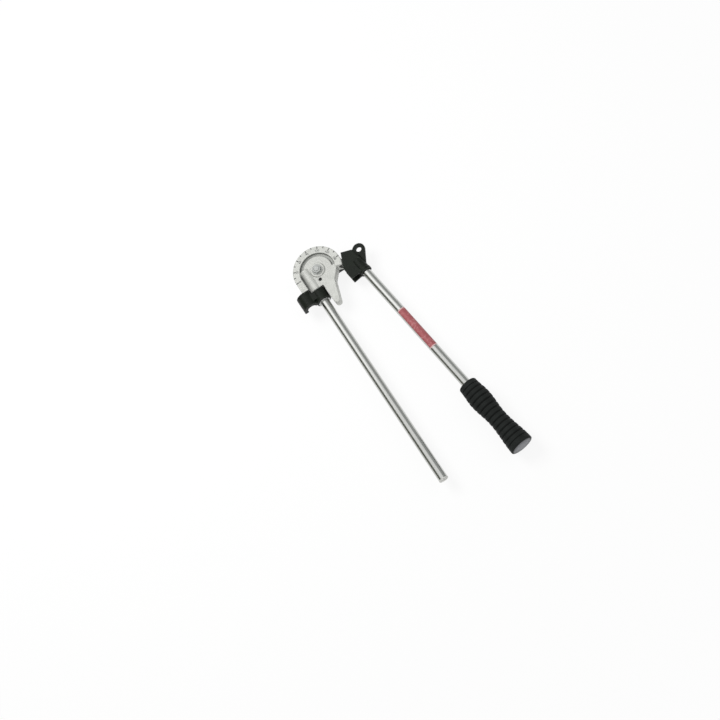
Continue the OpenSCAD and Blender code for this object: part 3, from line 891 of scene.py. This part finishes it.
class OBJECT_OT_bender_grip(bpy.types.Operator):
    """Ribbed rubber grip and its grey end cap"""

    bl_idname = "object.bender_grip"
    bl_label = "Grip"

    def execute(self, context):
        place = along_lever()
        low, high = span("grip", place)
        cap_low, cap_high = span("grip_end_cap", place)
        cap_r, bore, bevel = 15 * MM, sizes().tube_r + FIT, 1.6 * MM
        length = high - low
        tube_end = span("lever_handle", place)[1]
        front_r, end_r = self.radius(0), self.radius(1)
        quarter = [math.radians(degrees) for degrees in range(0, 91, 15)]
        skin = [(low + bevel * (1 - math.cos(a)), front_r - bevel * (1 - math.sin(a))) for a in quarter]
        # Shares of the length where the ribbed skin starts, how far it runs, and its stations
        first, run, stations = 0.015, 0.97, 260
        for i in range(1, stations):
            share = first + run * i / stations
            skin.append((low + share * length, self.radius(share) - self.valley(share)))
        skin += [(high - bevel * (1 - math.sin(a)), end_r - bevel * (1 - math.cos(a))) for a in quarter]
        inside = [(high, cap_r), (cap_low, cap_r), (cap_low, 0)]
        sleeve = turned([(tube_end, 0), (tube_end, bore), (low, bore)] + skin + inside)
        # Height of each point on its rib, which sets the painted sheen on the crests and the painted
        # shade in the valleys
        crest = [1 - self.valley((v.co.z - low) / length) / sizes().rib_h for v in sleeve.verts]
        mesh = to_mesh(sleeve, "grip_sleeve", place)
        mesh.attributes.new("crest", "FLOAT", "POINT").data.foreach_set("value", crest)
        piece("grip_sleeve", mesh, ribbed_rubber(), "lever", "black_rubber", "grip")
        self.cap(place, cap_low, cap_high, high, cap_r - FIT)
        return {"FINISHED"}

    def radius(self, share):
        """Plain radius at a share of the length: front, bulge, waist and end, eased between."""
        # Shares of the length, each with its radius in millimetres
        stations = ((0, 14.0), (0.24, 16.4), (0.56, 13.5), (1, 17.5))
        for (a, ra), (b, rb) in zip(stations, stations[1:]):
            if share <= b:
                ease = (1 - math.cos(math.pi * (share - a) / (b - a))) / 2
                return (ra + (rb - ra) * ease) * MM
        return stations[-1][1] * MM

    def valley(self, share):
        """Depth of the valley between two ribs at a share of the length."""
        first, last = 0.06, 0.93
        # Half of a valley as a share of a rib's pitch, and how hollow its sides are
        half, hollow = 0.24, 1.5
        across = (share - first) / (last - first) * sizes().rib_count
        if not 0 <= across <= sizes().rib_count:
            return 0.0
        off = abs(across - round(across))
        return sizes().rib_h * max(0.0, math.cos(math.pi / 2 * min(1.0, off / half))) ** hollow

    def cap(self, place, low, top, rim, radius):
        """Disc with a bevelled rim, a shallow ring groove and a slightly crowned middle."""
        bevel, crown_r = 1.2 * MM, 4 * MM
        groove_out, groove_in, slope = 10.8 * MM, 10.2 * MM, 0.4 * MM
        edge, land, groove, middle = (rim + rise * MM for rise in (0.7, 0.75, 0.45, 0.85))
        corners = [
            (low, 0, 0), (low, radius, 0), (rim, radius, 0.2 * MM), (edge, radius - bevel, 0.5 * MM),
            (land, groove_out + slope, 0.2 * MM), (groove, groove_out, 0.2 * MM),
            (groove, groove_in, 0.2 * MM), (middle, groove_in - slope, 0.3 * MM),
            (top, crown_r, 3 * MM), (top, 0, 0)]
        disc = turned(rounded(corners, closed=False))
        # Painted shade from this share of the radius outwards
        unshaded = 0.6
        border = [max(0.0, min(1.0, (v.co.xy.length / radius - unshaded) / (1 - unshaded))) for v in disc.verts]
        mesh = to_mesh(disc, "grip_end_disc", place)
        mesh.attributes.new("border", "FLOAT", "POINT").data.foreach_set("value", border)
        grey = moulded_plastic("polypropylene_grey", tuple(colours().cap))
        piece("grip_end_disc", mesh, grey, "lever", "grey_cap", "grip_end_cap")


class SCENE_OT_bender_stage(bpy.types.Operator):
    """Pale floor, soft studio light, reflector cards and the camera"""

    bl_idname = "scene.bender_stage"
    bl_label = "Studio stage"

    def execute(self, context):
        scene = context.scene
        scene.view_settings.view_transform = "Standard"
        self.world(scene)
        self.floor()
        self.lamps()
        self.cards()
        self.camera(scene)
        return {"FINISHED"}

    def world(self, scene):
        world = bpy.data.worlds.new("studio")
        world.use_nodes = True
        tree = world.node_tree
        tree.nodes.clear()
        soft = add(tree, "ShaderNodeBackground", {"Color": linear("#f4f5f6"), "Strength": 0.45})
        white = add(tree, "ShaderNodeBackground", {"Color": (1, 1, 1, 1), "Strength": 1.0})
        mixed = add(tree, "ShaderNodeMixShader", {
            0: self.mirror_rays(tree), 1: soft.outputs["Background"], 2: white.outputs["Background"]})
        add(tree, "ShaderNodeOutputWorld", {"Surface": mixed.outputs["Shader"]})
        scene.world = world

    def mirror_rays(self, tree):
        """1 for the rays of the camera and for those that metal and glass send on."""
        path = add(tree, "ShaderNodeLightPath").outputs
        sent_on = calculate(tree, "MAXIMUM", path["Is Glossy Ray"], path["Is Transmission Ray"])
        return calculate(tree, "MAXIMUM", path["Is Camera Ray"], sent_on)

    def floor(self):
        material, tree = start_material("paper_sweep_white")
        paper = add(tree, "ShaderNodeBsdfDiffuse", {"Color": linear("#f2f2f1")})
        glow = add(tree, "ShaderNodeEmission", {"Color": (1, 1, 1, 1), "Strength": 1.0})
        # Near the tool the paper keeps a share of its own shading, and so of the shadows on it
        away = add(tree, "ShaderNodeVectorMath", {0: on_piece(tree)}, operation="LENGTH")
        share = ramp(tree, away.outputs["Value"], 0.88, 1.0, start=0.6, end=2.2)
        seen = calculate(tree, "MULTIPLY", self.mirror_rays(tree), share)
        mixed = add(tree, "ShaderNodeMixShader", {
            0: seen, 1: paper.outputs["BSDF"], 2: glow.outputs["Emission"]})
        add(tree, "ShaderNodeOutputMaterial", {"Surface": mixed.outputs["Shader"]})
        side, middle_y, below = 40.0, -0.2, 0.3 * MM
        place = Matrix.Translation((0, middle_y, CAD_BOX[0].z - below))
        self.panel("floor", side, side, place, material)

    def panel(self, name, width, height, place, material):
        bm = bmesh.new()
        stretch = Matrix.Diagonal((width, height, 1, 1))
        bmesh.ops.create_grid(bm, x_segments=1, y_segments=1, size=0.5, matrix=stretch)
        obj = bpy.data.objects.new(name, to_mesh(bm, name, place))
        obj.data.materials.append(material)
        bpy.context.scene.collection.objects.link(obj)
        return obj

    def lamps(self):
        middle = Vector((0.02, -0.18, 0.0))
        lights = (
            ("key", (-0.45, 0.75, 1.3), 0.9, 18.0),
            ("fill", (1.1, -0.3, 1.3), 1.4, 4.0),
            ("front", (0.2, -1.5, 1.0), 1.0, 3.0))
        for name, away, size, watts in lights:
            data = bpy.data.lights.new(name, "AREA")
            data.shape = "DISK"
            data.size = size
            data.energy = watts
            lamp = bpy.data.objects.new(name, data)
            lamp.location = middle + Vector(away)
            lamp.rotation_mode = "QUATERNION"
            lamp.rotation_quaternion = Vector(away).to_track_quat("Z", "Y")
            # Gloss comes from the white surroundings and the cards, which are not as hot as a lamp
            lamp.visible_glossy = False
            bpy.context.scene.collection.objects.link(lamp)

    def cards(self):
        """Dark and grey cards beside the tool and a bright one above it, which only gloss shows."""
        upright = Matrix.Rotation(TURN / 4, 4, "Y")
        key = Vector((-0.35, 0.8, 1.3))
        tilted = key.to_track_quat("Z", "Y").to_matrix().to_4x4()
        cards = (
            ("dark_card", (-0.55, 0.1, 0.3), upright, 0.6, 2.4, "#66685f", 1.0),
            ("grey_card", (0.65, 0.1, 0.64), upright, 1.28, 2.4, "#a6a8a7", 1.0),
            ("bright_card", key, tilted, 0.9, 0.9, "#ffffff", 1.6))
        for name, spot, turn, height, length, tone, strength in cards:
            material, tree = start_material(name + "_board")
            flat = add(tree, "ShaderNodeEmission", {"Color": linear(tone), "Strength": strength})
            add(tree, "ShaderNodeOutputMaterial", {"Surface": flat.outputs["Emission"]})
            card = self.panel(name, height, length, Matrix.Translation(spot) @ turn, material)
            card.visible_camera = card.visible_diffuse = card.visible_shadow = False

    def camera(self, scene):
        """Stands where the photograph was taken: high above the handles, a little turned."""
        azimuth, elevation, roll = math.radians(6), math.radians(67), math.radians(-40.24)
        distance = 1.924
        lens, sensor = 65.0, 36.0
        # Where the pivot lies in the picture, and how wide the picture is
        pivot_px = (319.1, 272.1)
        frame_px = 720
        level = Vector((math.sin(azimuth), -math.cos(azimuth), 0)) * math.cos(elevation)
        back = level + Vector((0, 0, math.sin(elevation)))
        flat = Vector((math.cos(azimuth), math.sin(azimuth), 0))
        upward = back.cross(flat)
        right = flat * math.cos(roll) + upward * math.sin(roll)
        up = upward * math.cos(roll) - flat * math.sin(roll)
        focal_px = lens / sensor * frame_px
        shift_x = (pivot_px[0] - frame_px / 2) / focal_px * distance
        shift_y = (frame_px / 2 - pivot_px[1]) / focal_px * distance
        pivot = Vector((0, 0, MIDDLE))
        data = bpy.data.cameras.new("camera")
        data.lens = lens
        data.sensor_width = sensor
        data.clip_start = 0.05
        data.clip_end = 50
        obj = bpy.data.objects.new("camera", data)
        spot = pivot - right * shift_x - up * shift_y + back * distance
        obj.matrix_world = Matrix.Translation(spot) @ Matrix((right, up, back)).transposed().to_4x4()
        scene.collection.objects.link(obj)
        scene.camera = obj


BUILDERS = (
    OBJECT_OT_bender_former,
    OBJECT_OT_bender_dial,
    OBJECT_OT_bender_pivot,
    OBJECT_OT_bender_handles,
    OBJECT_OT_bender_latch,
    OBJECT_OT_bender_lever_head,
    OBJECT_OT_bender_lever_arm,
    OBJECT_OT_bender_label,
    OBJECT_OT_bender_grip,
    SCENE_OT_bender_stage,
)


class VIEW3D_PT_bender(bpy.types.Panel):
    """Lists the builders of the tube bender"""

    bl_label = "Tube Bender"
    bl_idname = "VIEW3D_PT_bender"
    bl_space_type = "VIEW_3D"
    bl_region_type = "UI"
    bl_category = "Tube Bender"

    def draw(self, context):
        for builder in BUILDERS:
            self.layout.operator(builder.bl_idname)
        for group in (context.scene.bender_sizes, context.scene.bender_finish):
            for key in group.__annotations__:
                self.layout.prop(group, key)


CLASSES = (BenderSizes, BenderFinish, *BUILDERS, VIEW3D_PT_bender)


def register():
    for cls in CLASSES:
        bpy.utils.register_class(cls)
    bpy.types.Scene.bender_sizes = PointerProperty(type=BenderSizes)
    bpy.types.Scene.bender_finish = PointerProperty(type=BenderFinish)


def unregister():
    del bpy.types.Scene.bender_finish
    del bpy.types.Scene.bender_sizes
    for cls in reversed(CLASSES):
        bpy.utils.unregister_class(cls)


def main():
    """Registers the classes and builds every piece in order."""
    register()
    for builder in BUILDERS:
        group, name = builder.bl_idname.split(".")
        getattr(getattr(bpy.ops, group), name)()


if __name__ == "__main__":
    main()
